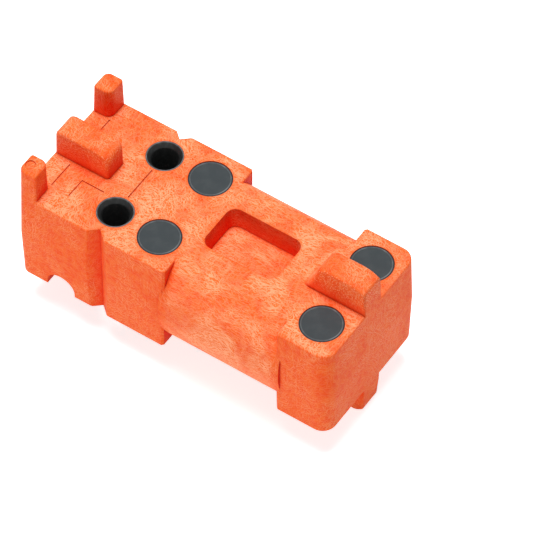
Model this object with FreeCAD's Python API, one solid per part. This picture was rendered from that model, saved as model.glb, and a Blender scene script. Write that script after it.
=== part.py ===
import FreeCAD, Part
import math
import os

# Drilling template: one moulded block with stop posts, guide ribs and a round
# grip, two steel drill bushes, and four round pads let into the working face.
# Millimetres, +Z up. The origin is the middle of the block, at the feet.
# X runs along the block, from the stop posts to the far end.

Vector = FreeCAD.Vector

# The block
block_length = 135.0
block_height = 44.4
upper_draft = 2.05
lower_draft = 1.6
head_half_width = 27.9
middle_half_width = 28.3
tail_half_width = 28.6
middle_end = 29.9
middle_end_lean = 1.6
tail_length = 22.6
head_corner = 3.0
tail_corner = 5.4
inner_corner_cut = 0.8
edge_round = 1.0
bottom_bevel = 0.6

# The grip between the middle and the tail
grip_radius = 30.4
grip_edge_round = 3.0

# The bush line, measured from the stop end of the block
bush_line = 34.7
bush_spacing = 31.0
bush_outer = 14.0
bush_bore = 10.2
bush_rim = 0.45
bush_lead_in = 1.75

# The V notches that mark the bush line on both sides
notch_root = 24.9
notch_half_angle = 49.0

# The round pads and their seats, the near pair measured from the bush line and
# the far pair from the far end
pad_diameter = 16.2
pad_thickness = 3.0
pad_chamfer = 0.45
pad_clearance = 0.05
pad_spacing = 32.0
head_pads = 19.5
tail_pads = 11.8

# The stop posts
post_height = 13.8
post_thickness = 7.9
post_width = 9.3
post_inner_draft = 1.2
post_inner_corner = 3.0
ejector_diameter = 3.8
ejector_depth = 0.4
ejector_inset = 2.6

# The guide ribs and the feet
rib_width = 10.0
rib_top_round = 1.3
head_rib_height = 12.6
head_rib_length = 23.5
head_rib_end_round = 4.0
head_rib_back_round = 3.0
tail_rib_height = 14.0
tail_rib_length = 27.0
ramp_foot_slope = 45.0
ramp_top_slope = 80.0
ramp_radius = 20.0
rib_crown_length = 7.0
rib_crown_drop = 2.2
foot_height = 13.8
foot_crown_length = 4.2
foot_crown_drop = 3.6
foot_bevel = 0.9
head_foot_length = 10.4

# The arch under the head
arch_radius = 5.95
arch_straight = 1.4
arch_springing = 1.0
arch_centre = 16.4

# The pocket in the top of the grip, from the bush line to its land before the tail
pocket_start = 33.0
pocket_land = 13.6
pocket_width = 20.4
pocket_depth = 9.4
pocket_corner = 4.0
pocket_draft = 3.0

# The engraved lines
line_width = 0.5
line_depth = 0.35
stop_line_start = 7.0
stop_line_end = 17.9
corner_line_back = 18.05
corner_line_near = 8.8
corner_line_side = 10.4
corner_line_outer = 18.5
bush_mark_half = 7.2

# Heights and stations that follow from the sizes above
foot_level = 0.0
bottom_level = foot_level + foot_height
parting_level = bottom_level + block_height / 2
top_level = bottom_level + block_height
post_top_level = top_level + post_height
bush_x = bush_line - block_length / 2
far_x = block_length / 2
tail_x = far_x - tail_length
through = block_height + 2 * foot_height
overlap = 2.0


def side_spread(level):
    """How far a drafted side stands out from its place at the top face."""
    if level >= parting_level:
        return (top_level - level) * math.tan(math.radians(upper_draft))
    spread = (top_level - parting_level) * math.tan(math.radians(upper_draft))
    return spread - (parting_level - level) * math.tan(math.radians(lower_draft))


def head_end(level):
    """X of the stop end of the block at a level."""
    return -block_length / 2 + side_spread(parting_level) - side_spread(level)


def tail_end(level):
    """X of the far end of the block at a level."""
    return -head_end(level)


stop_x = head_end(top_level) + post_thickness


def rounded_plan(corners, level):
    """A closed wire at one level from square (x, y, radius) corners, run anticlockwise."""
    count = len(corners)
    points = [Vector(x, y, level) for x, y, radius in corners]
    starts = []
    ends = []
    middles = []
    for i in range(count):
        to_last = (points[i - 1] - points[i]).normalize()
        to_next = (points[(i + 1) % count] - points[i]).normalize()
        half_turn = to_last.getAngle(to_next) / 2
        radius = corners[i][2]
        reach = radius / math.tan(half_turn)
        bisector = (to_last + to_next).normalize()
        centre = points[i] + bisector * (radius / math.sin(half_turn))
        starts.append(points[i] + to_last * reach)
        ends.append(points[i] + to_next * reach)
        middles.append(centre - bisector * radius)
    edges = []
    for i in range(count):
        if corners[i][2] > 0:
            edges.append(Part.Arc(starts[i], middles[i], ends[i]).toShape())
        edges.append(Part.LineSegment(ends[i], starts[(i + 1) % count]).toShape())
    return Part.Wire(edges)


def rectangle_plan(x_from, x_to, y_from, y_to, radii, level):
    """A rectangle with four corner radii, from its near corner at x_from, y_from."""
    corners = [
        (x_from, y_from, radii[0]),
        (x_to, y_from, radii[1]),
        (x_to, y_to, radii[2]),
        (x_from, y_to, radii[3]),
    ]
    return rounded_plan(corners, level)


def slab(x_from, x_to, y_from, y_to, z_from, z_to):
    """A plain box between two corners."""
    corner = Vector(x_from, y_from, z_from)
    return Part.makeBox(x_to - x_from, y_to - y_from, z_to - z_from, corner)


def edges_in_plane(shape, level):
    """The edges of a shape that lie flat at one level."""
    found = []
    for edge in shape.Edges:
        box = edge.BoundBox
        if abs(box.ZMin - level) < 1e-3 and abs(box.ZMax - level) < 1e-3:
            found.append(edge)
    return found


def edge_ends(edge):
    """The first and last point of an edge."""
    return edge.valueAt(edge.FirstParameter), edge.valueAt(edge.LastParameter)


def drafted_block(plan_at, levels):
    """A solid through the plans of its levels, with flat sides and round corners."""
    up = Vector(0, 0, 1)
    plans = [plan_at(level) for level in levels]
    faces = [Part.Face(plans[0]), Part.Face(plans[-1])]
    for low, high in zip(plans, plans[1:]):
        for first, second in zip(low.OrderedEdges, high.OrderedEdges):
            a, b = edge_ends(first)
            d, c = edge_ends(second)
            if first.Curve.TypeId == "Part::GeomLine":
                faces.append(Part.Face(Part.makePolygon([a, b, c, d, a])))
            elif (first.Curve.Center - second.Curve.Center).cross(up).Length < 1e-6:
                seam = Part.LineSegment(a, d).toShape()
                faces.append(seam.revolve(first.Curve.Center, up, 90))
            else:
                faces.append(Part.makeRuledSurface(first, second))
    shell = Part.Shell(faces)
    shell.sewShape()
    block = Part.Solid(shell)
    block.fix(1e-6, 1e-6, 1e-6)
    return block.removeSplitter()


def upright_edges(shape, x, y):
    """The upright edges of a shape that pass close to a place in plan."""
    found = []
    for edge in shape.Edges:
        box = edge.BoundBox
        if box.ZLength > box.XLength + box.YLength:
            if math.hypot(box.Center.x - x, box.Center.y - y) < edge_round:
                found.append(edge)
    return found


def head_plan(level):
    """The plan of the head, from the stop end to past the bush line."""
    spread = side_spread(level)
    half = head_half_width + spread
    radius = head_corner + spread
    radii = [radius, 0.0, 0.0, radius]
    return rectangle_plan(head_end(level), bush_x + overlap, -half, half, radii, level)


def middle_plan(level):
    """The plan of the middle, which carries the near pads."""
    half = middle_half_width + side_spread(level)
    lean = (top_level - level) * math.tan(math.radians(middle_end_lean))
    x_to = bush_x + middle_end - lean
    corners = [
        (bush_x, -half, 0.0),
        (x_to - inner_corner_cut, -half, 0.0),
        (x_to, inner_corner_cut - half, 0.0),
        (x_to, half - inner_corner_cut, 0.0),
        (x_to - inner_corner_cut, half, 0.0),
        (bush_x, half, 0.0),
    ]
    return rounded_plan(corners, level)


def tail_plan(level):
    """The plan of the tail, which carries the far pads."""
    spread = side_spread(level)
    half = tail_half_width + spread
    radius = tail_corner + spread
    corners = [
        (tail_x + inner_corner_cut, -half, 0.0),
        (tail_end(level), -half, radius),
        (tail_end(level), half, radius),
        (tail_x + inner_corner_cut, half, 0.0),
        (tail_x, half - inner_corner_cut, 0.0),
        (tail_x, inner_corner_cut - half, 0.0),
    ]
    return rounded_plan(corners, level)


def post_inner_y(level):
    """Y of the inner face of the back post at a level."""
    lean = (level - top_level) * math.tan(math.radians(post_inner_draft))
    return head_half_width - post_width + lean


def post_plan(level):
    """The plan of the back stop post, which runs out past the drafted sides."""
    x_from = head_end(parting_level) - overlap
    y_to = head_half_width + side_spread(parting_level) + overlap
    return rectangle_plan(x_from, stop_x, post_inner_y(level), y_to, [0.0] * 4, level)


def build_post():
    """The back stop post, with its round inner corner."""
    middle_level = (top_level + post_top_level) / 2
    post = drafted_block(post_plan, [top_level - overlap, post_top_level])
    inner = upright_edges(post, stop_x, post_inner_y(middle_level))
    return post.makeFillet(post_inner_corner, inner)


def build_head():
    """The head with its two stop posts, and its outer edges rounded."""
    levels = [bottom_level, parting_level, post_top_level]
    post = build_post()
    other = post.mirror(Vector(0, 0, 0), Vector(0, 1, 0))
    reach = block_length
    body = slab(-reach, reach, -reach, reach, foot_level, top_level)
    head = drafted_block(head_plan, levels).common(body.fuse([post, other]).removeSplitter())
    head = head.removeSplitter()
    middle_level = (top_level + post_top_level) / 2
    rounded = outer_edges(head) + edges_in_plane(head, post_top_level)
    for side in [-1, 1]:
        outer_y = side * (head_half_width + side_spread(middle_level))
        inner_y = side * post_inner_y(middle_level)
        rounded += upright_edges(head, stop_x, outer_y)
        rounded += upright_edges(head, head_end(middle_level), inner_y)
    head = head.makeFillet(edge_round, rounded)
    return head.makeChamfer(bottom_bevel, edges_in_plane(head, bottom_level))


def outer_edges(head):
    """The outer edges of the head at its top face, apart from those along the posts."""
    found = []
    for edge in edges_in_plane(head, top_level):
        place = edge.CenterOfMass
        on_side = abs(abs(place.y) - head_half_width) < 1e-3 and place.x > stop_x
        on_end = abs(place.x - head_end(top_level)) < 1e-3
        if on_side or (on_end and abs(place.y) < post_inner_y(top_level)):
            found.append(edge)
    return found


def build_block(plan_at):
    """A drafted block of the full height, rounded at the top and bevelled at the bottom."""
    block = drafted_block(plan_at, [bottom_level, parting_level, top_level])
    block = block.makeFillet(edge_round, edges_in_plane(block, top_level))
    return block.makeChamfer(bottom_bevel, edges_in_plane(block, bottom_level))


def build_grip():
    """The round grip: a cylinder cut flat at the top and bottom of the block."""
    x_from = bush_x + middle_end - overlap
    x_to = tail_x + overlap
    axis_end = Vector(x_from, 0, parting_level)
    barrel = Part.makeCylinder(grip_radius, x_to - x_from, axis_end, Vector(1, 0, 0))
    flats = slab(x_from, x_to, -block_length, block_length, bottom_level, top_level)
    grip = barrel.common(flats)
    shoulders = []
    for edge in grip.Edges:
        box = edge.BoundBox
        if box.XLength > overlap and box.YLength < 1e-3 and box.ZLength < 1e-3:
            shoulders.append(edge)
    return grip.makeFillet(grip_edge_round, shoulders)


def profile_prism(points, half_width):
    """A prism across Y from a side profile of lines and arcs.

    An entry is a point, or an arc as its middle and end point.
    """
    edges = []
    last = points[0]
    for entry in points[1:] + [points[0]]:
        if isinstance(entry, tuple):
            edges.append(Part.Arc(last, entry[0], entry[1]).toShape())
            last = entry[1]
        else:
            edges.append(Part.LineSegment(last, entry).toShape())
            last = entry
    face = Part.Face(Part.Wire(edges))
    face.translate(Vector(0, -half_width, 0))
    return face.extrude(Vector(0, 2 * half_width, 0))


def build_head_rib():
    """The guide rib between the stop posts."""
    base = top_level - overlap
    top = top_level + head_rib_height
    x_to = head_end(top_level) + head_rib_length
    turn = head_rib_end_round * (1 - math.sqrt(0.5))
    crown_start = Vector(x_to - head_rib_end_round, 0, top)
    crown_middle = Vector(x_to - turn, 0, top - turn)
    crown_end = Vector(x_to, 0, top - head_rib_end_round)
    back_turn = head_rib_back_round * (1 - math.sqrt(0.5))
    back_end = Vector(head_end(top - head_rib_back_round), 0, top - head_rib_back_round)
    back_x = back_end.x
    profile = [
        Vector(head_end(top_level), 0, top_level),
        Vector(head_end(base), 0, base),
        Vector(x_to, 0, base),
        crown_end,
        (crown_middle, crown_start),
        Vector(back_x + head_rib_back_round, 0, top),
        (Vector(back_x + back_turn, 0, top - back_turn), back_end),
    ]
    rib = profile_prism(profile, rib_width / 2)
    return rib.makeFillet(rib_top_round, free_edges(rib, base, far_x))


def rising_arc(start, radius, from_slope, to_slope):
    """The middle and end points of an arc that steepens or flattens as it climbs."""
    side = math.copysign(radius, to_slope - from_slope)
    points = []
    for slope in [(from_slope + to_slope) / 2, to_slope]:
        first = math.radians(from_slope)
        last = math.radians(slope)
        x = start.x + side * (math.sin(last) - math.sin(first))
        z = start.z + side * (math.cos(first) - math.cos(last))
        points.append(Vector(x, 0, z))
    return tuple(points)


def crown_arc(start, x_end, drop):
    """The middle and end points of an arc that leaves a level top and falls away."""
    run = abs(x_end - start.x)
    radius = (run * run + drop * drop) / (2 * drop)
    half = math.asin(run / radius) / 2
    toward = math.copysign(1.0, x_end - start.x)
    x_middle = start.x + toward * radius * math.sin(half)
    middle = Vector(x_middle, 0, start.z - radius * (1 - math.cos(half)))
    return (middle, Vector(x_end, 0, start.z - drop))


def free_edges(rib, base, end_x):
    """The edges of a rib or foot above its base that aren't on its end face at end_x."""
    found = []
    for edge in rib.Edges:
        box = edge.BoundBox
        if box.ZMin > base + 1e-3 and abs(box.Center.x - end_x) > rib_top_round:
            found.append(edge)
    return found


def bevel_foot(foot, base, end_x):
    """Bevels the free edges along each side of a foot."""
    for side_y in [-rib_width / 2, rib_width / 2]:
        along = []
        for edge in free_edges(foot, base, end_x):
            box = edge.BoundBox
            if abs(box.YMin - side_y) < 1e-3 and abs(box.YMax - side_y) < 1e-3:
                along.append(edge)
        foot = foot.makeChamfer(foot_bevel, along)
    return foot


def ramped_bar(seat, end_at, height, crown_length, crown_drop):
    """A bar at the far end that climbs a curved ramp from the height of its seat.

    end_at gives the X of the end face at a height.
    """
    base = seat - overlap
    top = seat + height
    slope = math.tan(math.radians(ramp_foot_slope))
    ramp_foot = Vector(far_x - tail_rib_length, 0, seat)
    buried = Vector(ramp_foot.x - overlap / slope, 0, base)
    turn = math.cos(math.radians(ramp_foot_slope)) - math.cos(math.radians(ramp_top_slope))
    shoulder_height = height - ramp_radius * turn
    shoulder_radius = shoulder_height / (1 - math.cos(math.radians(ramp_top_slope)))
    ramp = rising_arc(ramp_foot, ramp_radius, ramp_foot_slope, ramp_top_slope)
    shoulder = rising_arc(ramp[1], shoulder_radius, ramp_top_slope, 0.0)
    crown_level = top - crown_drop
    crown_start = Vector(end_at(crown_level) - crown_length, 0, top)
    crown = crown_arc(crown_start, end_at(crown_level), crown_drop)
    profile = [
        buried,
        ramp_foot,
        ramp,
        shoulder,
        crown_start,
        crown,
        Vector(end_at(seat), 0, seat),
        Vector(end_at(base), 0, base),
    ]
    return profile_prism(profile, rib_width / 2)


def build_tail_rib():
    """The guide rib at the far end."""
    rib = ramped_bar(top_level, tail_end, tail_rib_height, rib_crown_length, rib_crown_drop)
    end_x = tail_end(top_level + tail_rib_height)
    return rib.makeFillet(rib_top_round, free_edges(rib, top_level - overlap, end_x))


def upside_down(height):
    """The height that a point of the underside has when the block is turned over."""
    return top_level + bottom_level - height


def turned_over(shape):
    """A shape that was built upwards, turned over in place under the block."""
    return shape.mirror(Vector(0, 0, parting_level), Vector(0, 0, 1))


def build_tail_foot():
    """The foot under the far end, shaped like the rib above it."""
    def end_at(height):
        return tail_end(upside_down(height))
    foot = ramped_bar(top_level, end_at, foot_height, foot_crown_length, foot_crown_drop)
    return turned_over(bevel_foot(foot, top_level - overlap, end_at(top_level + foot_height)))


def build_head_foot():
    """The short foot under the stop end, from the end face to the arch."""
    base = top_level - overlap
    top = top_level + foot_height
    crown_level = top - foot_crown_drop
    end_x = head_end(upside_down(crown_level))
    crown_start = Vector(end_x + foot_crown_length, 0, top)
    crown = crown_arc(crown_start, end_x, foot_crown_drop)
    inner_x = head_end(bottom_level) + head_foot_length
    profile = [
        Vector(inner_x, 0, base),
        Vector(inner_x, 0, top),
        crown_start,
        crown,
        Vector(head_end(bottom_level), 0, top_level),
        Vector(head_end(upside_down(base)), 0, base),
    ]
    foot = profile_prism(profile, rib_width / 2)
    return turned_over(bevel_foot(foot, base, end_x))


def notch_tool(side):
    """The wedge that cuts one V notch through the full height."""
    root = Vector(bush_x, side * notch_root, bottom_level - overlap)
    reach = grip_radius - notch_root + overlap
    spread = reach * math.tan(math.radians(notch_half_angle))
    left = root + Vector(-spread, side * reach, 0)
    right = root + Vector(spread, side * reach, 0)
    wedge = Part.Face(Part.makePolygon([root, left, right, root]))
    return wedge.extrude(Vector(0, 0, block_height + 2 * overlap))


def arch_tool():
    """The arched channel across the underside of the head."""
    centre = bush_x - arch_centre
    left = centre - arch_radius
    right = centre + arch_radius
    low = bottom_level
    spring = low + arch_springing
    shoulder = spring + arch_straight
    bend = arch_springing * (1 - math.sqrt(0.5))
    profile = [
        Vector(left - arch_springing, 0, low),
        (Vector(left - bend, 0, low + bend), Vector(left, 0, spring)),
        Vector(left, 0, shoulder),
        (Vector(centre, 0, shoulder + arch_radius), Vector(right, 0, shoulder)),
        Vector(right, 0, spring),
        (Vector(right + bend, 0, low + bend), Vector(right + arch_springing, 0, low)),
        Vector(right + arch_springing, 0, low - overlap),
        Vector(left - arch_springing, 0, low - overlap),
    ]
    return profile_prism(profile, grip_radius + overlap)


def pocket_plan(level):
    """The plan of the pocket, which narrows towards its floor."""
    inset = (top_level - level) * math.tan(math.radians(pocket_draft))
    x_from = bush_x + pocket_start + inset
    x_to = tail_x - pocket_land - inset
    half = pocket_width / 2 - inset
    radii = [pocket_corner - inset] * 4
    return rectangle_plan(x_from, x_to, -half, half, radii, level)


def pocket_tool():
    """The pocket in the top of the grip."""
    return drafted_block(pocket_plan, [top_level - pocket_depth, top_level + overlap])


def pad_places():
    """Where the four pads stand, as name, x and y."""
    places = []
    for end, x in [("head", bush_x + head_pads), ("tail", far_x - tail_pads)]:
        for side, sign in [("front", -1), ("back", 1)]:
            places.append((end + "_" + side, x, sign * pad_spacing / 2))
    return places


def pad_seat_tool(x, y):
    """The blind round seat of one pad."""
    floor = Vector(x, y, top_level - pad_thickness)
    return Part.makeCylinder(pad_diameter / 2 + pad_clearance, pad_thickness + overlap, floor)


def ejector_tool():
    """The shallow round mark in the top of the front post."""
    x = head_end(post_top_level) + ejector_inset
    y = -(post_inner_y(post_top_level) + head_half_width) / 2
    low = Vector(x, y, post_top_level - ejector_depth)
    return Part.makeCylinder(ejector_diameter / 2, ejector_depth + overlap, low)


def line_tool(x_from, x_to, y_from, y_to):
    """A shallow engraved line in the working face."""
    half = line_width / 2
    low = top_level - line_depth
    return slab(x_from - half, x_to + half, y_from - half, y_to + half, low, top_level + overlap)


def engraved_lines():
    """The lines that mark the stop faces, a corner and the bush line."""
    corner_x = bush_x - corner_line_back
    side_y = -corner_line_side
    return [
        line_tool(stop_x, stop_x, -stop_line_end, -stop_line_start),
        line_tool(stop_x, stop_x, stop_line_start + rib_width / 2, stop_line_end),
        line_tool(corner_x, corner_x, -corner_line_outer, side_y),
        line_tool(corner_x, bush_x - corner_line_near, side_y, side_y),
        line_tool(bush_x, bush_x, -bush_mark_half, bush_mark_half),
    ]


def build_template():
    """The moulded block."""
    head = build_head()
    others = [
        build_block(middle_plan),
        build_grip(),
        build_block(tail_plan),
        build_head_rib(),
        build_tail_rib(),
        build_tail_foot(),
        build_head_foot(),
    ]
    template = head.fuse(others).removeSplitter()
    tools = [notch_tool(-1), notch_tool(1), arch_tool(), pocket_tool(), ejector_tool()]
    for y in [-bush_spacing / 2, bush_spacing / 2]:
        low = Vector(bush_x, y, foot_level)
        tools.append(Part.makeCylinder(bush_outer / 2, through, low))
    for name, x, y in pad_places():
        tools.append(pad_seat_tool(x, y))
    tools += engraved_lines()
    return template.cut(tools).removeSplitter()


def build_bush(y):
    """One drill bush with a lead-in at each end, flush with both faces."""
    outer = bush_outer / 2
    bore = bush_bore / 2
    mouth = outer - bush_rim
    points = [
        Vector(outer, 0, bottom_level),
        Vector(outer, 0, top_level),
        Vector(mouth, 0, top_level),
        Vector(bore, 0, top_level - bush_lead_in),
        Vector(bore, 0, bottom_level + bush_lead_in),
        Vector(mouth, 0, bottom_level),
    ]
    section = Part.Face(Part.makePolygon(points + [points[0]]))
    bush = section.revolve(Vector(0, 0, 0), Vector(0, 0, 1), 360)
    bush.translate(Vector(bush_x, y, 0))
    return bush


def build_pad(x, y):
    """One round pad, flush with the working face, with a chamfered rim."""
    pad = Part.makeCylinder(
        pad_diameter / 2, pad_thickness, Vector(x, y, top_level - pad_thickness)
    )
    return pad.makeChamfer(pad_chamfer, edges_in_plane(pad, top_level))


def write(shape, name):
    """Writes one piece to its own file."""
    shape.exportStep(os.path.join("parts", name + ".step"))
    print(name, shape.isValid(), len(shape.Solids), round(shape.Volume, 1))


def main():
    os.makedirs("parts", exist_ok=True)
    write(build_template(), "moulded_block")
    write(build_bush(-bush_spacing / 2), "drill_bush_front")
    write(build_bush(bush_spacing / 2), "drill_bush_back")
    for name, x, y in pad_places():
        write(build_pad(x, y), "pad_" + name)


main()
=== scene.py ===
import logging
import math
from abc import ABC, abstractmethod
from dataclasses import dataclass, field
from enum import Enum
from typing import Any, Union

import bpy
from mathutils import Matrix, Vector


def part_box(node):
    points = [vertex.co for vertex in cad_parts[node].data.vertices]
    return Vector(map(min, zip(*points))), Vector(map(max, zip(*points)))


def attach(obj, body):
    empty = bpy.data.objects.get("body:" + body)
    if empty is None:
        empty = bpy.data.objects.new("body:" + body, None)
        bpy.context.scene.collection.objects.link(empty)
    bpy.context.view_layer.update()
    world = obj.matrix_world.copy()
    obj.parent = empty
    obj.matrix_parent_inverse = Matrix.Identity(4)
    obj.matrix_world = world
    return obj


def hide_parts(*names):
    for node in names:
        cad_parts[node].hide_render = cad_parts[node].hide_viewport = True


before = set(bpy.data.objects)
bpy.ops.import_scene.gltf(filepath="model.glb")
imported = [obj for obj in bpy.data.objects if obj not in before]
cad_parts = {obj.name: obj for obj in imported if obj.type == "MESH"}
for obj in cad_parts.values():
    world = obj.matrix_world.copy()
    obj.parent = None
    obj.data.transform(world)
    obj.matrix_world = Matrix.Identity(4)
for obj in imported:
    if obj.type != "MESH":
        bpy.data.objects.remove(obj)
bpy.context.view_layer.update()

# Drilling template: a moulded block of orange plastic with pale fibres in it, two
# blackened drill bushes and four dark grey pads. The frame is in metres, and the
# patterns of the finishes are worked out in millimetres.

MM = 0.001
MM_PER_METRE = 1000.0
RING_POINTS = 96
SMOOTH_ANGLE = math.radians(32.0)
MERGE_DISTANCE = 0.001 * MM
RAY_SAMPLES = 6
WHITE = (1.0, 1.0, 1.0, 1.0)
MIDDLE = 0.5
MIDDLE_GREY = (MIDDLE, MIDDLE, MIDDLE)
LOG = logging.getLogger("drilling_template")

Number = Union[float, "Value"]
Socket = bpy.types.NodeSocket
Triple = tuple[float, float, float]
Colour = tuple[float, float, float, float]


class Slot(Enum):
    """Names of the record's material slots for the bushes and the pads, which nothing here uses."""

    STEEL = "bush_steel"
    RUBBER = "pad_rubber"


class Blend(Enum):
    """The ways in which one colour goes over another."""

    COVER = "MIX"
    DARKEN = "MULTIPLY"


class Value:
    """A number that varies over a surface: a socket that takes part in arithmetic."""

    def __init__(self, graph: "Graph", socket: Socket) -> None:
        """Keeps the graph and the socket.

        Args:
            graph: The graph that new nodes go into.
            socket: The output that gives the number.
        """
        self.graph = graph
        self.socket = socket

    def _math(self, operation: str, *terms: Number) -> "Value":
        """One Math node on the given terms.

        Args:
            operation: The operation of the Math node.
            terms: The numbers or values of its inputs, in order.

        Returns:
            The result as a value.
        """
        node = self.graph.node("ShaderNodeMath", {"operation": operation}, dict(enumerate(terms)))
        return Value(self.graph, node.outputs[0])

    def __add__(self, other: Number) -> "Value":
        """The sum."""
        return self._math("ADD", self, other)

    __radd__ = __add__

    def __sub__(self, other: Number) -> "Value":
        """The difference."""
        return self._math("SUBTRACT", self, other)

    def __rsub__(self, other: Number) -> "Value":
        """The difference, the other way round."""
        return self._math("SUBTRACT", other, self)

    def __mul__(self, other: Number) -> "Value":
        """The product."""
        return self._math("MULTIPLY", self, other)

    __rmul__ = __mul__

    def root(self) -> "Value":
        """The square root."""
        return self._math("SQRT", self)

    def size(self) -> "Value":
        """The number without its sign."""
        return self._math("ABSOLUTE", self)

    def larger(self, other: Number) -> "Value":
        """The larger of two numbers."""
        return self._math("MAXIMUM", self, other)

    def from_least(self, least: float) -> "Value":
        """A number from 0 to 1, moved to run from a least value to 1."""
        return least + self * (1.0 - least)

    def cut(self, share: float) -> "Value":
        """A factor of 1 where the number is 0, cut by a share where it is 1."""
        return 1.0 - self * share

    def step(self, low: float, high: float) -> "Value":
        """A soft step from 0 at low to 1 at high, or down where high is the smaller.

        Args:
            low: Where the step gives 0.
            high: Where the step gives 1.

        Returns:
            The step as a value from 0 to 1.
        """
        settings = {"interpolation_type": "SMOOTHSTEP", "clamp": True}
        if low < high:
            ends = {"From Min": low, "From Max": high, "To Min": 0.0, "To Max": 1.0}
        else:
            ends = {"From Min": high, "From Max": low, "To Min": 1.0, "To Max": 0.0}
        node = self.graph.node("ShaderNodeMapRange", settings, {"Value": self, **ends})
        return Value(self.graph, node.outputs["Result"])


@dataclass(frozen=True)
class Clouds:
    """A cloudy pattern.

    Attributes:
        size: How large its clouds are, in millimetres.
        detail: How many finer layers are added.
        low: The grey up to which it gives 0.
        high: The grey from which it gives 1.
    """

    size: float
    detail: float
    low: float
    high: float


class Graph:
    """The node tree of one material or of the world."""

    def __init__(self, tree: bpy.types.NodeTree) -> None:
        """Empties the tree.

        Args:
            tree: The node tree to fill.
        """
        self.tree = tree
        tree.nodes.clear()

    def node(
        self,
        kind: str,
        settings: dict[str, Any] | None = None,
        inputs: dict[Union[int, str], Any] | None = None,
    ) -> bpy.types.Node:
        """Makes a node, sets its settings first and then its sockets.

        Args:
            kind: The node's type.
            settings: Its properties by name.
            inputs: Numbers, tuples, sockets or values, by socket name or index.

        Returns:
            The new node.
        """
        made = self.tree.nodes.new(kind)
        for name, setting in (settings or {}).items():
            setattr(made, name, setting)
        for key, given in (inputs or {}).items():
            socket = made.inputs[key]
            if isinstance(given, Value):
                self.tree.links.new(given.socket, socket)
            elif isinstance(given, Socket):
                self.tree.links.new(given, socket)
            else:
                socket.default_value = given
        return made

    def vector(self, operation: str, *terms: Any, scale: Number = 1.0) -> Socket:
        """One Vector Math node whose result is a vector.

        Args:
            operation: The operation of the node.
            terms: Its vector inputs, in order.
            scale: The factor of the SCALE operation.

        Returns:
            The vector socket of the result.
        """
        inputs: dict[Union[int, str], Any] = dict(enumerate(terms))
        if operation == "SCALE":
            inputs["Scale"] = scale
        made = self.node("ShaderNodeVectorMath", {"operation": operation}, inputs)
        return made.outputs["Vector"]

    def product(self, first: Socket, second: Socket) -> Value:
        """The dot product of two vectors."""
        made = self.node("ShaderNodeVectorMath", {"operation": "DOT_PRODUCT"}, {0: first, 1: second})
        return Value(self, made.outputs["Value"])

    def parts(self, vector: Socket) -> tuple[Value, Value, Value]:
        """The X, Y and Z of a vector."""
        made = self.node("ShaderNodeSeparateXYZ", inputs={0: vector})
        return Value(self, made.outputs[0]), Value(self, made.outputs[1]), Value(self, made.outputs[2])

    def joined(self, x: Number, y: Number, z: Number) -> Socket:
        """A vector from its X, Y and Z."""
        return self.node("ShaderNodeCombineXYZ", inputs={0: x, 1: y, 2: z}).outputs[0]

    def place(self, origin: Triple = (0.0, 0.0, 0.0)) -> Socket:
        """The place on the object in millimetres, measured from an origin.

        Args:
            origin: The origin in the object's frame, in millimetres.

        Returns:
            A vector socket.
        """
        source = self.node("ShaderNodeTexCoord").outputs["Object"]
        scaled = self.vector("SCALE", source, scale=MM_PER_METRE)
        return self.vector("SUBTRACT", scaled, origin)

    def facing(self) -> Socket:
        """The direction in which the surface faces."""
        return self.node("ShaderNodeNewGeometry").outputs["Normal"]

    def rounded_facing(self, radius: float) -> Socket:
        """The direction in which it would face with its edges rounded, in millimetres."""
        made = self.node("ShaderNodeBevel", {"samples": RAY_SAMPLES}, {"Radius": radius * MM})
        return made.outputs["Normal"]

    def openness(self, reach: float) -> Value:
        """How open a place is to the air.

        Args:
            reach: How far other faces of the same piece count, in millimetres.

        Returns:
            1 on an open face, less among other faces.
        """
        settings = {"samples": RAY_SAMPLES, "only_local": True}
        made = self.node("ShaderNodeAmbientOcclusion", settings, {"Distance": reach * MM})
        return Value(self, made.outputs["AO"])

    def noise(self, place: Socket, size: float, detail: float) -> bpy.types.Node:
        """A noise texture.

        Args:
            place: Where on the object, in millimetres.
            size: The size of its features, in millimetres.
            detail: How many finer layers are added.

        Returns:
            The noise node.
        """
        inputs = {"Vector": place, "Scale": 1.0 / size, "Detail": detail}
        return self.node("ShaderNodeTexNoise", {"noise_dimensions": "3D"}, inputs)

    def grey(self, place: Socket, size: float, detail: float) -> Value:
        """The grey part of a noise, from about 0.3 to 0.7."""
        return Value(self, self.noise(place, size, detail).outputs[0])

    def clouds(self, place: Socket, clouds: Clouds) -> Value:
        """A cloudy pattern, from 0 to 1."""
        return self.grey(place, clouds.size, clouds.detail).step(clouds.low, clouds.high)

    def mixed(self, share: Number, first: Any, second: Any, blend: Blend = Blend.COVER) -> Socket:
        """Two colours mixed by a share of the second.

        The Mix node keeps the sockets of every data type, and 6 and 7 are its colours.

        Args:
            share: How much of the second colour, from 0 to 1.
            first: The first colour or its socket.
            second: The second colour or its socket.
            blend: How the second goes over the first.

        Returns:
            The colour socket of the result.
        """
        settings = {"data_type": "RGBA", "blend_type": blend.value, "clamp_factor": True}
        made = self.node("ShaderNodeMix", settings, {0: share, 6: first, 7: second})
        return made.outputs[2]

    def bump(
        self,
        height: Value,
        strength: float,
        distance: float,
        normal: Socket | None = None,
    ) -> Socket:
        """A bumped normal from a height in shares of a distance.

        Args:
            height: The height, from 0 to 1.
            strength: The strength of the bump.
            distance: What a height of 1 stands for, in millimetres.
            normal: The normal that is bumped, where it isn't the surface's own.

        Returns:
            The normal socket.
        """
        inputs = {"Height": height, "Strength": strength, "Distance": distance * MM}
        if normal is not None:
            inputs["Normal"] = normal
        return self.node("ShaderNodeBump", inputs=inputs).outputs["Normal"]

    def surface(self, shader: bpy.types.Node) -> None:
        """Makes a shader the material's surface."""
        self.node("ShaderNodeOutputMaterial", inputs={"Surface": shader.outputs[0]})

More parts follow.
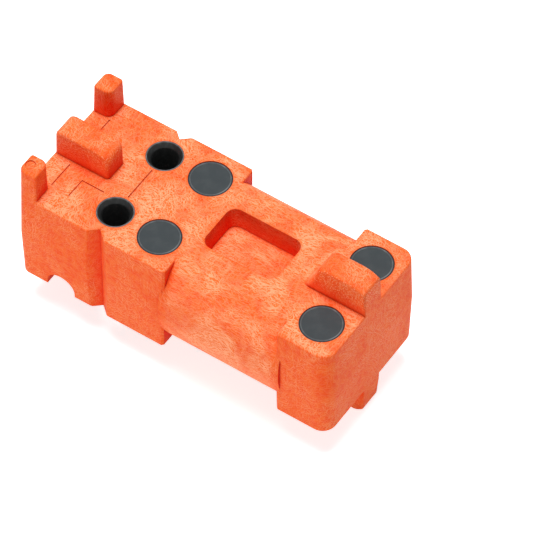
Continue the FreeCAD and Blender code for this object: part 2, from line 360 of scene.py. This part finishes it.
    def solid(self, sockets: dict[Union[int, str], Any]) -> None:
        """Makes a Principled shader with the given sockets the material's surface."""
        self.surface(self.node("ShaderNodeBsdfPrincipled", inputs=sockets))


def new_material(name: str) -> tuple[bpy.types.Material, Graph]:
    """A material with an empty graph.

    Args:
        name: The material's name.

    Returns:
        The material and its graph.
    """
    material = bpy.data.materials.new(name)
    material.use_nodes = True
    return material, Graph(material.node_tree)


@dataclass(frozen=True)
class FibreLayer:
    """A layer of short fibres, with its sizes in millimetres.

    Attributes:
        spacing: How far apart the fibres lie.
        half_length: Half the length of a fibre.
        half_width: Half its width.
        shift: How far the layer is shifted, so that it differs from the others.
        strength: How strongly its fibres show, from 0 to 1.
    """

    spacing: float
    half_length: float
    half_width: float
    shift: float
    strength: float


@dataclass(frozen=True)
class Streaks:
    """Long thin streaks that the melt left where it flowed.

    Attributes:
        shorten: How much each axis is shortened, which draws the streaks out along it.
        size: How far apart they lie, in millimetres.
        strength: How strongly they show, from 0 to 1.
    """

    shorten: Triple
    size: float
    strength: float


@dataclass(frozen=True)
class Spot:
    """What the layers of the plastic's finish know about a place on the block.

    The values run from 0 to 1.

    Attributes:
        graph: The graph of the material.
        place: The place, in millimetres.
        warped: The same place, swirled as the melt flowed.
        lean: The vector that the fibres there lie square to, on average.
        keep: How much of each axis that vector keeps, less of X on the grip.
        facing: The direction in which the surface faces.
        patches: How hazy the plastic is; its hazy patches also carry painted sheen.
        upward: How far it faces up.
        front: How far it faces the front.
        grip: How far it is on the grip.
        raised: How far it is on a rib or post, above the working face.
        rib_strip: How far it is in the strip down the middle in which the ribs stand.
        combed: How plainly fibres show, most on upward faces and on the grip.
    """

    graph: Graph
    place: Socket
    warped: Socket
    lean: Socket
    keep: Socket
    facing: Socket
    patches: Value
    upward: Value
    front: Value
    grip: Value
    raised: Value
    rib_strip: Value
    combed: Value


@dataclass(frozen=True)
class FibrePlastic:
    """Orange moulded plastic filled with short pale fibres, as it comes from the mould.

    Sizes are in millimetres. A pair says where a soft step gives 0 and where it gives 1.
    """

    # Colours
    resin: Colour = (0.89, 0.127, 0.018, 1.0)
    deep_resin: Colour = (0.86, 0.068, 0.004, 1.0)
    fibre: Colour = (0.98, 0.43, 0.23, 1.0)
    # Paler tone of the hazy patches, partly the plastic's own and partly painted sheen.
    haze_and_sheen: Colour = (0.92, 0.190, 0.042, 1.0)
    edge: Colour = (0.93, 0.105, 0.008, 1.0)
    # Painted shade: the colour that nooks and the sides of the ribs and posts are darkened by.
    painted_recess_shade: Colour = (0.92, 0.11, 0.012, 1.0)
    # Painted shade in creases, grooves and the feet of the ribs.
    painted_crease_shade: Colour = (0.55, 0.12, 0.04, 1.0)

    # Regions of the block
    grip_span: tuple[float, float] = (-3.0, 45.0)
    grip_fade: float = 3.0
    raised_range: tuple[float, float] = (58.5, 64.5)
    rib_strip_range: tuple[float, float] = (7.0, 6.0)
    upward_range: tuple[float, float] = (0.3, 0.9)
    front_range: tuple[float, float] = (-0.3, -0.9)

    # Swirls, fibres and streaks
    swirl_size: float = 24.0
    swirl_detail: float = 1.5
    swirl_reach: float = 30.0
    lean_strength: float = 3.4
    grip_combing: float = 0.8
    patches: Clouds = Clouds(15.0, 3.0, 0.38, 0.62)
    layers: tuple[FibreLayer, ...] = (
        FibreLayer(2.1, 1.5, 0.15, 3.0, 1.0),
        FibreLayer(1.5, 1.0, 0.13, 17.0, 0.85),
        FibreLayer(1.0, 0.6, 0.12, 41.0, 0.7),
    )
    # Pale fibres on the sides of the ribs, partly the plastic's own and partly painted glints.
    rib_specks_and_glints: FibreLayer = FibreLayer(1.3, 0.45, 0.20, 71.0, 0.7)
    shift_direction: Triple = (1.0, 1.7, -1.0)
    full_width: float = 0.4
    full_length: float = 0.7
    streaks: Streaks = Streaks((0.16, 1.0, 1.0), 1.2, 0.9)
    cross_streaks: Streaks = Streaks((0.7, 0.2, 0.7), 1.36, 0.7)
    streak_detail: float = 3.0
    streak_range: tuple[float, float] = (0.05, 0.012)

    # How strongly things show in each region
    least_streaks: float = 0.35
    least_in_patches: float = 0.4
    least_on_sides: float = 0.5
    calm_on_ribs: float = 0.5
    mottling: Clouds = Clouds(2.4, 4.0, 0.34, 0.62)
    least_resin: float = 0.15
    # Hazy patches: partly paler plastic, partly painted sheen that is strongest on upward faces and on the
    # grip.
    haze_and_sheen_everywhere: float = 0.15
    painted_sheen_on_top: float = 0.4
    haze_and_sheen_on_grip: float = 0.15

    # Edges, and painted shade in nooks and creases
    edge_softness: float = 0.6
    rib_softness: float = 2.4
    edge_range: tuple[float, float] = (0.99, 0.88)
    edge_strength: float = 0.55
    # Painted shade in nooks, from how open a place is, less on upward and front faces.
    recess_shade_reach: float = 18.0
    recess_shade_range: tuple[float, float] = (0.92, 0.50)
    recess_shade_cut_on_top: float = 0.85
    recess_shade_cut_in_front: float = 0.35
    raised_shade_strength: float = 0.9
    raised_shade_cut_in_front: float = 0.6
    # Painted shade in creases, where a place is closed in within about a millimetre.
    crease_shade_reach: float = 0.9
    crease_shade_range: tuple[float, float] = (0.85, 0.35)
    crease_shade_strength: float = 0.8

    # Gloss and relief
    roughness: float = 0.46
    gloss: float = 0.07
    grain_size: float = 0.55
    grain_detail: float = 2.0
    grain_roughness: float = 0.16
    fibre_gloss: float = 0.06
    fibre_height: float = 0.4
    grain_height: float = 0.9
    mottling_height: float = 0.35
    bump_strength: float = 0.4
    bump_distance: float = 0.12

    def spot(self, graph: Graph) -> Spot:
        """Works out what the layers of the finish need to know.

        Args:
            graph: The graph of the material.

        Returns:
            The spot.
        """
        place = graph.place()
        drift = graph.noise(place, self.swirl_size, self.swirl_detail).outputs["Color"]
        swirl = graph.vector("SUBTRACT", drift, MIDDLE_GREY)
        warped = graph.vector("ADD", place, graph.vector("SCALE", swirl, scale=self.swirl_reach))
        facing = graph.facing()
        _, facing_y, facing_z = graph.parts(facing)
        x, y, z = graph.parts(place)
        start, end = self.grip_span
        grip = x.step(start, start + self.grip_fade) * x.step(end, end - self.grip_fade)
        upward = facing_z.step(*self.upward_range)
        raised = z.step(*self.raised_range)
        return Spot(
            graph=graph,
            place=place,
            warped=warped,
            lean=graph.vector("SCALE", swirl, scale=self.lean_strength),
            keep=graph.joined(grip.cut(self.grip_combing), 1.0, 1.0),
            facing=facing,
            patches=graph.clouds(warped, self.patches),
            upward=upward,
            front=facing_y.step(*self.front_range),
            grip=grip,
            raised=raised,
            rib_strip=y.size().step(*self.rib_strip_range),
            combed=upward.larger(grip) * raised.cut(self.calm_on_ribs),
        )

    def fibres(self, spot: Spot, layer: FibreLayer) -> Value:
        """Short fibres that lie in the surface, one in each cell of the plastic.

        Args:
            spot: The place on the block.
            layer: The sizes of the fibres.

        Returns:
            How much of a fibre shows, from 0 to 1.
        """
        graph = spot.graph
        shift = tuple(part * layer.shift for part in self.shift_direction)
        shifted = graph.vector("ADD", spot.place, shift)
        settings = {"voronoi_dimensions": "3D", "feature": "F1"}
        inputs = {"Vector": shifted, "Scale": 1.0 / layer.spacing}
        cells = graph.node("ShaderNodeTexVoronoi", settings, inputs)
        offset = graph.vector("SUBTRACT", shifted, cells.outputs["Position"])
        chance = graph.vector("SUBTRACT", cells.outputs["Color"], MIDDLE_GREY)
        square = graph.vector("MULTIPLY", graph.vector("ADD", chance, spot.lean), spot.keep)
        along = graph.vector("NORMALIZE", graph.vector("CROSS_PRODUCT", spot.facing, square))
        across = graph.vector("CROSS_PRODUCT", spot.facing, along)
        width, length = layer.half_width, layer.half_length
        beside = graph.product(offset, across).size().step(width, width * self.full_width)
        within = graph.product(offset, along).size().step(length, length * self.full_length)
        return beside * within

    def streaked(self, spot: Spot, streaks: Streaks) -> Value:
        """Streaks along the lines on which a drawn-out noise is middle grey.

        Args:
            spot: The place on the block.
            streaks: The sizes of the streaks.

        Returns:
            How much of a streak shows, from 0 to 1.
        """
        drawn = spot.graph.vector("MULTIPLY", spot.warped, streaks.shorten)
        grey = spot.graph.grey(drawn, streaks.size, self.streak_detail)
        return (grey - MIDDLE).size().step(*self.streak_range)

    def cover(self, spot: Spot) -> Value:
        """The fibres and streaks together.

        Args:
            spot: The place on the block.

        Returns:
            How much of a fibre or streak shows, from 0 to 1.
        """
        along = self.streaked(spot, self.streaks) * spot.patches.from_least(self.least_streaks)
        across = self.streaked(spot, self.cross_streaks) * (1.0 - spot.patches)
        flows = along.larger(across * self.cross_streaks.strength)
        shown = flows * self.streaks.strength * spot.combed
        for layer in self.layers:
            shown = shown.larger(self.fibres(spot, layer) * layer.strength)
        return shown

    def body_colour(self, spot: Spot, mottling: Value, shown: Value) -> Socket:
        """The colour of the plastic on an open face, whose hazy patches also carry painted sheen, strongest
        on upward faces and on the grip.

        Args:
            spot: The place on the block.
            mottling: The fine clouds of the resin.
            shown: How much of a fibre shows.

        Returns:
            The colour socket.
        """
        graph = spot.graph
        colour = graph.mixed(mottling.from_least(self.least_resin), self.deep_resin, self.resin)
        # Hazy patches: partly paler plastic, partly painted sheen that is strongest on upward faces and on
        # the grip.
        haze_and_sheen = self.haze_and_sheen_everywhere + spot.combed * self.painted_sheen_on_top + spot.grip * self.haze_and_sheen_on_grip
        colour = graph.mixed(spot.patches * haze_and_sheen, colour, self.haze_and_sheen)
        dense = spot.patches.from_least(self.least_in_patches) * spot.combed.from_least(self.least_on_sides)
        return graph.mixed(shown * dense, colour, self.fibre)

    def colour_with_painted_shade(self, spot: Spot, colour: Socket, rounder: Socket) -> Socket:
        """The colour, deeper on edges, with painted shade in nooks, in creases and on the sides of the ribs
        and posts, and pale fibres on the rib sides that also stand in for painted glints.

        Args:
            spot: The place on the block.
            colour: The colour on an open face.
            rounder: The direction in which the surface faces with rounder edges.

        Returns:
            The colour socket.
        """
        graph = spot.graph
        edges = graph.product(rounder, spot.facing).step(*self.edge_range)
        colour = graph.mixed(edges * self.edge_strength, colour, self.edge)
        raised_side = spot.raised * (1.0 - spot.upward)
        # Pale fibres on the rib sides, partly the plastic's own and partly painted glints.
        fibre_glints = self.fibres(spot, self.rib_specks_and_glints) * self.rib_specks_and_glints.strength
        colour = graph.mixed(fibre_glints * raised_side * spot.rib_strip, colour, self.fibre)
        # Painted shade: darker where other faces of the block close a place in.
        recess_shade_share = graph.openness(self.recess_shade_reach).step(*self.recess_shade_range)
        recess_shade_share = recess_shade_share * spot.upward.cut(self.recess_shade_cut_on_top) * spot.front.cut(self.recess_shade_cut_in_front)
        colour = graph.mixed(recess_shade_share, colour, self.painted_recess_shade, Blend.DARKEN)
        # More painted shade on the sides of the ribs and posts, less where they face the front.
        raised_shade_share = raised_side * recess_shade_share * (self.raised_shade_strength - spot.front * self.raised_shade_cut_in_front)
        colour = graph.mixed(raised_shade_share, colour, self.painted_recess_shade, Blend.DARKEN)
        # Painted shade in creases: dark where a place is closed in within about a millimetre.
        painted_crease_shade = graph.openness(self.crease_shade_reach).step(*self.crease_shade_range)
        return graph.mixed(painted_crease_shade * self.crease_shade_strength, colour, self.painted_crease_shade, Blend.DARKEN)

    def softened(self, spot: Spot, rounder: Socket) -> Socket:
        """The normal with softened edges, which run rounder along the ribs.

        Args:
            spot: The place on the block.
            rounder: The normal with the edges softened as on the ribs.

        Returns:
            The normal socket.
        """
        graph = spot.graph
        share = spot.raised * spot.rib_strip
        kept = graph.vector("SCALE", graph.rounded_facing(self.edge_softness), scale=1.0 - share)
        added = graph.vector("SCALE", rounder, scale=share)
        return graph.vector("NORMALIZE", graph.vector("ADD", kept, added))

    def build(self) -> bpy.types.Material:
        """The finished material.

        Returns:
            The material.
        """
        material, graph = new_material("fibre_filled_plastic")
        spot = self.spot(graph)
        rounder = graph.rounded_facing(self.rib_softness)
        shown = self.cover(spot)
        mottling = graph.clouds(spot.place, self.mottling)
        colour = self.body_colour(spot, mottling, shown)
        grain = graph.grey(spot.place, self.grain_size, self.grain_detail)
        height = shown * self.fibre_height + grain * self.grain_height + mottling * self.mottling_height
        normal = self.softened(spot, rounder)
        graph.solid({
            "Base Color": self.colour_with_painted_shade(spot, colour, rounder),
            "Roughness": self.roughness + grain * self.grain_roughness - shown * self.fibre_gloss,
            "Specular IOR Level": self.gloss,
            "Normal": graph.bump(height, self.bump_strength, self.bump_distance, normal),
        })
        return material


@dataclass(frozen=True)
class BlackenedSteel:
    """Turned and blackened steel, with fine rings from the lathe.

    Sizes are in millimetres. A pair says where a soft step gives 0 and where it gives 1.
    """

    body: Colour = (0.018, 0.019, 0.019, 1.0)
    worn: Colour = (0.075, 0.078, 0.078, 1.0)
    bright: Colour = (0.20, 0.20, 0.20, 1.0)
    metallic: float = 0.7
    wear: Clouds = Clouds(2.2, 4.0, 0.45, 0.72)
    worn_by_wear: float = 0.4
    worn_by_rings: float = 0.35
    rings_per_mm: float = 6.0
    ring_detail: float = 3.0
    lip_radius: tuple[float, float] = (6.3, 6.6)
    lip_height: tuple[float, float] = (-0.5, -0.2)
    bright_lip: float = 0.35
    bright_by_wear: float = 0.5
    roughness: float = 0.38
    ring_roughness: float = 0.2
    wear_gloss: float = 0.08
    bump_strength: float = 0.25
    bump_distance: float = 0.02

    def build(self, centre: Triple) -> bpy.types.Material:
        """The finished material.

        Args:
            centre: The axis of the bush at its top face, in millimetres.

        Returns:
            The material.
        """
        material, graph = new_material("blackened_steel")
        place = graph.place(centre)
        x, y, z = graph.parts(place)
        radius = (x * x + y * y).root()
        ringed = graph.joined(radius * self.rings_per_mm, z * self.rings_per_mm, 0.0)
        rings = graph.grey(ringed, 1.0, self.ring_detail)
        wear = graph.clouds(place, self.wear)
        lip = radius.step(*self.lip_radius) * z.step(*self.lip_height)
        worn = wear * self.worn_by_wear + rings * self.worn_by_rings
        colour = graph.mixed(worn, self.body, self.worn)
        bright = lip * (self.bright_lip + wear * self.bright_by_wear)
        graph.solid({
            "Base Color": graph.mixed(bright, colour, self.bright),
            "Metallic": self.metallic,
            "Roughness": self.roughness + rings * self.ring_roughness - wear * self.wear_gloss,
            "Normal": graph.bump(rings, self.bump_strength, self.bump_distance),
        })
        return material


@dataclass(frozen=True)
class PadRubber:
    """Dark grey rubber with a fine dull grain and a painted highlight ring inside its lip.

    Sizes are in millimetres. A pair says where a soft step gives 0 and where it gives 1.
    """

    body: Colour = (0.033, 0.041, 0.045, 1.0)
    dusty: Colour = (0.046, 0.054, 0.057, 1.0)
    # Painted highlight: the light ring inside the pad's lip.
    painted_rim_highlight: Colour = (0.16, 0.17, 0.175, 1.0)
    dust: Clouds = Clouds(5.0, 4.0, 0.42, 0.70)
    dusty_by_dust: float = 0.3
    dusty_by_grain: float = 0.2
    grain_size: float = 0.35
    grain_detail: float = 2.0
    highlight_ring_inside: tuple[float, float] = (7.05, 7.3)
    highlight_ring_outside: tuple[float, float] = (7.75, 7.5)
    least_rim_highlight: float = 0.3
    roughness: float = 0.62
    grain_roughness: float = 0.2
    dust_gloss: float = 0.08
    gloss: float = 0.25
    bump_strength: float = 0.25
    bump_distance: float = 0.05

    def build(self, centre: Triple) -> bpy.types.Material:
        """The finished material.

        Args:
            centre: The middle of the pad's top face, in millimetres.

        Returns:
            The material.
        """
        material, graph = new_material("dull_rubber")
        place = graph.place(centre)
        x, y, _ = graph.parts(place)
        radius = (x * x + y * y).root()
        dust = graph.clouds(place, self.dust)
        grain = graph.grey(place, self.grain_size, self.grain_detail)
        dusty = dust * self.dusty_by_dust + grain * self.dusty_by_grain
        colour = graph.mixed(dusty, self.body, self.dusty)
        # Painted highlight ring inside the lip, broken up by the dust.
        ring = radius.step(*self.highlight_ring_inside) * radius.step(*self.highlight_ring_outside)
        graph.solid({
            "Base Color": graph.mixed(ring * dust.from_least(self.least_rim_highlight), colour, self.painted_rim_highlight),
            "Roughness": self.roughness + grain * self.grain_roughness - dust * self.dust_gloss,
            "Specular IOR Level": self.gloss,
            "Normal": graph.bump(grain, self.bump_strength, self.bump_distance),
        })
        return material


def deselect() -> None:
    """Leaves edit mode and deselects every object."""
    if bpy.context.mode != "OBJECT":
        bpy.ops.object.mode_set(mode="OBJECT")
    bpy.ops.object.select_all(action="DESELECT")


def turned_piece(
    name: str,
    foot: Vector,
    rings: list[tuple[float, float]],
    hollow: bool,
) -> bpy.types.Object:
    """A turned piece, from a circle drawn out ring by ring.

    Args:
        name: The piece's name.
        foot: The point of its axis from which the heights count, in metres.
        rings: The radius and the height of each ring, in millimetres.
        hollow: Whether the last ring meets the first, as round a bore. Otherwise the
            first and last rings are closed with flat faces.

    Returns:
        The piece, at the origin.
    """
    deselect()
    radius, height = rings[0]
    bpy.ops.mesh.primitive_circle_add(
        vertices=RING_POINTS,
        radius=radius * MM,
        fill_type="NOTHING" if hollow else "NGON",
        location=foot + Vector((0.0, 0.0, height * MM)),
    )
    piece = bpy.context.active_object
    piece.name = name
    bpy.ops.object.transform_apply(location=True, rotation=True, scale=True)
    bpy.ops.object.mode_set(mode="EDIT")
    bpy.ops.mesh.select_mode(type="EDGE")
    bpy.ops.mesh.select_all(action="SELECT")
    for next_radius, next_height in rings[1:]:
        rise = (next_height - height) * MM
        bpy.ops.mesh.extrude_edges_move(TRANSFORM_OT_translate={"value": (0.0, 0.0, rise)})
        share = next_radius / radius
        bpy.ops.transform.resize(value=(share, share, 1.0), center_override=foot)
        radius, height = next_radius, next_height
    if not hollow:
        bpy.ops.mesh.edge_face_add()
    bpy.ops.mesh.select_all(action="SELECT")
    bpy.ops.mesh.remove_doubles(threshold=MERGE_DISTANCE)
    bpy.ops.mesh.normals_make_consistent(inside=False)
    bpy.ops.object.mode_set(mode="OBJECT")
    bpy.ops.object.shade_smooth_by_angle(angle=SMOOTH_ANGLE)
    return piece


def copied_piece(model: bpy.types.Object, name: str, shift: Vector) -> bpy.types.Object:
    """A copy of a piece with its own mesh, moved to another place.

    Args:
        model: The piece to copy.
        name: The copy's name.
        shift: How far the copy is moved, in metres.

    Returns:
        The copy, at the origin, with its new place in its mesh.
    """
    deselect()
    model.select_set(True)
    bpy.context.view_layer.objects.active = model
    bpy.ops.object.duplicate(linked=False)
    copy = bpy.context.active_object
    copy.name = name
    bpy.ops.transform.translate(value=shift)
    bpy.ops.object.transform_apply(location=True, rotation=True, scale=True)
    return copy


def dress(piece: bpy.types.Object, material: bpy.types.Material) -> None:
    """Gives a piece one material all over."""
    piece.data.materials.clear()
    piece.data.materials.append(material)


@dataclass
class MouldedBlock:
    """The moulded block, with its posts, ribs, grip and feet."""

    node: str = "moulded_block"
    plastic: FibrePlastic = field(default_factory=FibrePlastic)

    def build(self) -> bpy.types.Object:
        """Dresses the block's own node.

        Returns:
            The node.
        """
        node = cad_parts[self.node]
        material = self.plastic.build()
        for material_slot in node.material_slots:
            material_slot.material = material
        return node


@dataclass
class TurnedPieces(ABC):
    """Pieces turned to one shape, each in the place of its own node."""

    nodes: tuple[str, ...]
    ending: str
    hollow: bool

    @abstractmethod
    def rings(self, outer: float, length: float) -> list[tuple[float, float]]:
        """The rings of a piece.

        Args:
            outer: Its outer radius, in millimetres.
            length: Its length, in millimetres.

        Returns:
            The radius of each ring and its height over the foot, in millimetres.
        """

    @abstractmethod
    def finish(self, piece: bpy.types.Object, top: Triple) -> None:
        """Dresses a piece whose top face has its middle at a place in millimetres."""

    def build(self) -> list[bpy.types.Object]:
        """Turns the first piece, copies it to the other places and dresses them all.

        Returns:
            The pieces.
        """
        boxes = [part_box(name) for name in self.nodes]
        feet = [Vector(((low.x + high.x) / 2, (low.y + high.y) / 2, low.z)) for low, high in boxes]
        low, high = boxes[0]
        outer = (high.x - low.x) / 2 * MM_PER_METRE
        length = (high.z - low.z) * MM_PER_METRE
        rings = self.rings(outer, length)
        model = turned_piece(self.nodes[0] + self.ending, feet[0], rings, self.hollow)
        made = [model]
        for name, foot in zip(self.nodes[1:], feet[1:]):
            made.append(copied_piece(model, name + self.ending, foot - feet[0]))
        for name, piece, foot in zip(self.nodes, made, feet):
            self.finish(piece, tuple(foot * MM_PER_METRE + Vector((0.0, 0.0, length))))
            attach(piece, "root")
            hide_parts(name)
        return made


@dataclass
class DrillBushes(TurnedPieces):
    """The two drill bushes."""

    nodes: tuple[str, ...] = ("drill_bush_front", "drill_bush_back")
    ending: str = "_turned"
    hollow: bool = True
    bore: float = 5.1
    rim: float = 0.45
    lead_in: float = 1.75
    broken_edge: float = 0.14
    steel: BlackenedSteel = field(default_factory=BlackenedSteel)

    def rings(self, outer: float, length: float) -> list[tuple[float, float]]:
        """The rings of a bush, from its lower lead-in round the outside to its bore.

        Args:
            outer: Its outer radius, in millimetres.
            length: Its length, in millimetres.

        Returns:
            The rings, the last one the same as the first.
        """
        mouth = outer - self.rim
        edge = self.broken_edge
        lower = [
            (self.bore, self.lead_in + edge),
            (self.bore + edge, self.lead_in - edge),
            (mouth, 0.0),
            (outer - edge, 0.0),
            (outer, edge),
        ]
        upper = [(radius, length - height) for radius, height in reversed(lower)]
        return lower + upper + lower[:1]

    def finish(self, piece: bpy.types.Object, top: Triple) -> None:
        """Dresses a bush whose top face has its middle at a place in millimetres."""
        dress(piece, self.steel.build(top))


@dataclass
class Pads(TurnedPieces):
    """The four round pads."""

    nodes: tuple[str, ...] = ("pad_head_front", "pad_head_back", "pad_tail_front", "pad_tail_back")
    ending: str = "_disc"
    hollow: bool = False
    chamfer: float = 0.45
    lip: float = 0.35
    dish: float = 0.07
    rubber: PadRubber = field(default_factory=PadRubber)

    def rings(self, outer: float, length: float) -> list[tuple[float, float]]:
        """The rings of a pad, from its foot to the dished face inside its lip.

        Args:
            outer: Its outer radius, in millimetres.
            length: Its thickness, in millimetres.

        Returns:
            The rings, from the foot up.
        """
        top = outer - self.chamfer
        return [
            (outer - self.dish, 0.0),
            (outer, self.dish),
            (outer, length - self.chamfer),
            (top + self.dish, length - self.dish),
            (top - self.dish, length),
            (top - self.lip, length),
            (top - self.lip - self.dish, length - self.dish),
        ]

    def finish(self, piece: bpy.types.Object, top: Triple) -> None:
        """Dresses a pad whose top face has its middle at a place in millimetres."""
        dress(piece, self.rubber.build(top))


@dataclass
class Camera:
    """The camera at the photograph's place, in millimetres and degrees.

    Attributes:
        azimuth: How far it stands to the right of the front.
        elevation: How far it looks down.
        focal_pixels: Its focal length in pixels of the picture.
        frame_pixels: The width of the picture in pixels.
        sensor: The width of its sensor.
        target: The point from which its place counts.
        back: How far it stands back from the target.
        right: How far it stands to the right of it, seen through the lens.
        up: How far it stands above it, seen through the lens.
        near: The nearest distance that it sees, in metres.
        far: The farthest distance that it sees, in metres.
    """

    azimuth: float = 33.925
    elevation: float = 52.236
    focal_pixels: float = 5000.0
    frame_pixels: float = 533.0
    sensor: float = 36.0
    target: Triple = (-32.8, 0.0, 58.2)
    back: float = 1788.33
    right: float = 45.162
    up: float = -29.541
    near: float = 0.1
    far: float = 20.0

    def build(self) -> None:
        """Makes the scene's camera."""
        turn = math.radians(self.azimuth)
        rise = math.radians(self.elevation)
        back = Vector((math.sin(turn) * math.cos(rise), -math.cos(turn) * math.cos(rise), math.sin(rise)))
        right = Vector((math.cos(turn), math.sin(turn), 0.0))
        up = back.cross(right)
        place = Vector(self.target) + back * self.back + right * self.right + up * self.up
        data = bpy.data.cameras.new("photo_camera")
        data.sensor_width = self.sensor
        data.lens = self.sensor * self.focal_pixels / self.frame_pixels
        data.clip_start = self.near
        data.clip_end = self.far
        camera = bpy.data.objects.new("photo_camera", data)
        bpy.context.scene.collection.objects.link(camera)
        turned = Matrix((right, up, back)).transposed()
        camera.matrix_world = Matrix.Translation(place * MM) @ turned.to_4x4()
        bpy.context.scene.camera = camera


@dataclass(frozen=True)
class Lamp:
    """A soft lamp that looks at the object.

    Attributes:
        name: Its name.
        place: Where it stands, in metres.
        width: Its width, in metres.
        height: Its height, in metres.
        watts: Its power.
    """

    name: str
    place: Triple
    width: float
    height: float
    watts: float

    def build(self, target: Vector) -> None:
        """Makes the lamp.

        Args:
            target: Where it looks, in metres.
        """
        data = bpy.data.lights.new(self.name, "AREA")
        data.shape = "RECTANGLE"
        data.size = self.width
        data.size_y = self.height
        data.energy = self.watts
        lamp = bpy.data.objects.new(self.name, data)
        bpy.context.scene.collection.objects.link(lamp)
        lamp.location = self.place
        lamp.rotation_euler = (target - Vector(self.place)).to_track_quat("-Z", "Y").to_euler()


@dataclass
class Studio:
    """A pale floor, a pale world and soft lamps.

    Attributes:
        floor_size: The width of the floor, in metres.
        floor_cells: Into how many squares the floor is divided each way.
        paper: The two greys of the floor.
        paper_grain: The size of the clouds in its grey, in millimetres.
        paper_detail: How many finer layers they have.
        seen_glow: How much lighter the camera sees the floor.
        soft_light: The strength of the world on the object.
        seen_white: The strength of the world where it is seen.
        target: Where the lamps look, in metres.
        lamps: The lamps.
    """

    floor_size: float = 6.0
    floor_cells: int = 8
    paper: tuple[Colour, Colour] = ((0.80, 0.80, 0.80, 1.0), (0.84, 0.84, 0.84, 1.0))
    paper_grain: float = 40.0
    paper_detail: float = 2.0
    seen_glow: float = 0.75
    soft_light: float = 0.16
    seen_white: float = 1.0
    target: Triple = (0.0, 0.0, 0.03)
    lamps: tuple[Lamp, ...] = (
        Lamp("overhead_softbox", (-0.10, 0.05, 1.20), 0.6, 0.6, 15.5),
        Lamp("low_front_strip", (-0.10, -0.60, 0.028), 0.9, 0.05, 1.75),
        Lamp("low_side_strip", (0.65, 0.05, 0.028), 0.9, 0.05, 1.0),
    )

    def seen(self, graph: Graph) -> Value:
        """Tells the looks of the floor and the world from the light that they give.

        Args:
            graph: The graph of the floor's material or of the world.

        Returns:
            1 where the camera, a reflection or a clear material looks, otherwise 0.
        """
        path = graph.node("ShaderNodeLightPath")
        camera = Value(graph, path.outputs["Is Camera Ray"])
        glossy = Value(graph, path.outputs["Is Glossy Ray"])
        clear = Value(graph, path.outputs["Is Transmission Ray"])
        return camera.larger(glossy).larger(clear)

    def floor(self) -> None:
        """Makes the floor, which the camera sees as white away from the shadow."""
        deselect()
        bpy.ops.mesh.primitive_grid_add(
            x_subdivisions=self.floor_cells,
            y_subdivisions=self.floor_cells,
            size=self.floor_size,
        )
        floor = bpy.context.active_object
        floor.name = "studio_floor"
        material, graph = new_material("studio_paper")
        grain = graph.grey(graph.place(), self.paper_grain, self.paper_detail)
        paper = graph.mixed(grain, *self.paper)
        plain = graph.node("ShaderNodeBsdfDiffuse", inputs={"Color": paper}).outputs[0]
        light = {"Color": WHITE, "Strength": self.seen_glow}
        glow = graph.node("ShaderNodeEmission", inputs=light).outputs[0]
        lighter = graph.node("ShaderNodeAddShader", inputs={0: plain, 1: glow}).outputs[0]
        seen = {0: self.seen(graph), 1: plain, 2: lighter}
        graph.surface(graph.node("ShaderNodeMixShader", inputs=seen))
        dress(floor, material)

    def background(self, graph: Graph, strength: float) -> Socket:
        """A white background of one strength."""
        light = {"Color": WHITE, "Strength": strength}
        return graph.node("ShaderNodeBackground", inputs=light).outputs[0]

    def world(self) -> None:
        """Makes the pale world, which is white where it is seen."""
        world = bpy.data.worlds.new("studio_world")
        bpy.context.scene.world = world
        world.use_nodes = True
        graph = Graph(world.node_tree)
        soft = self.background(graph, self.soft_light)
        white = self.background(graph, self.seen_white)
        seen = {0: self.seen(graph), 1: soft, 2: white}
        mixed = graph.node("ShaderNodeMixShader", inputs=seen).outputs[0]
        graph.node("ShaderNodeOutputWorld", inputs={"Surface": mixed})

    def build(self) -> None:
        """Makes the floor, the world and the lamps."""
        self.floor()
        self.world()
        for lamp in self.lamps:
            lamp.build(Vector(self.target))


def main() -> None:
    """Builds the camera, the pieces and the studio, in order."""
    logging.basicConfig(level=logging.INFO, format="%(name)s: %(message)s")
    bpy.context.scene.view_settings.view_transform = "Standard"
    Camera().build()
    LOG.info("camera set")
    LOG.info("made %s", MouldedBlock().build().name)
    for piece in DrillBushes().build() + Pads().build():
        LOG.info("made %s", piece.name)
    Studio().build()
    LOG.info("studio set")


if __name__ == "__main__":
    main()
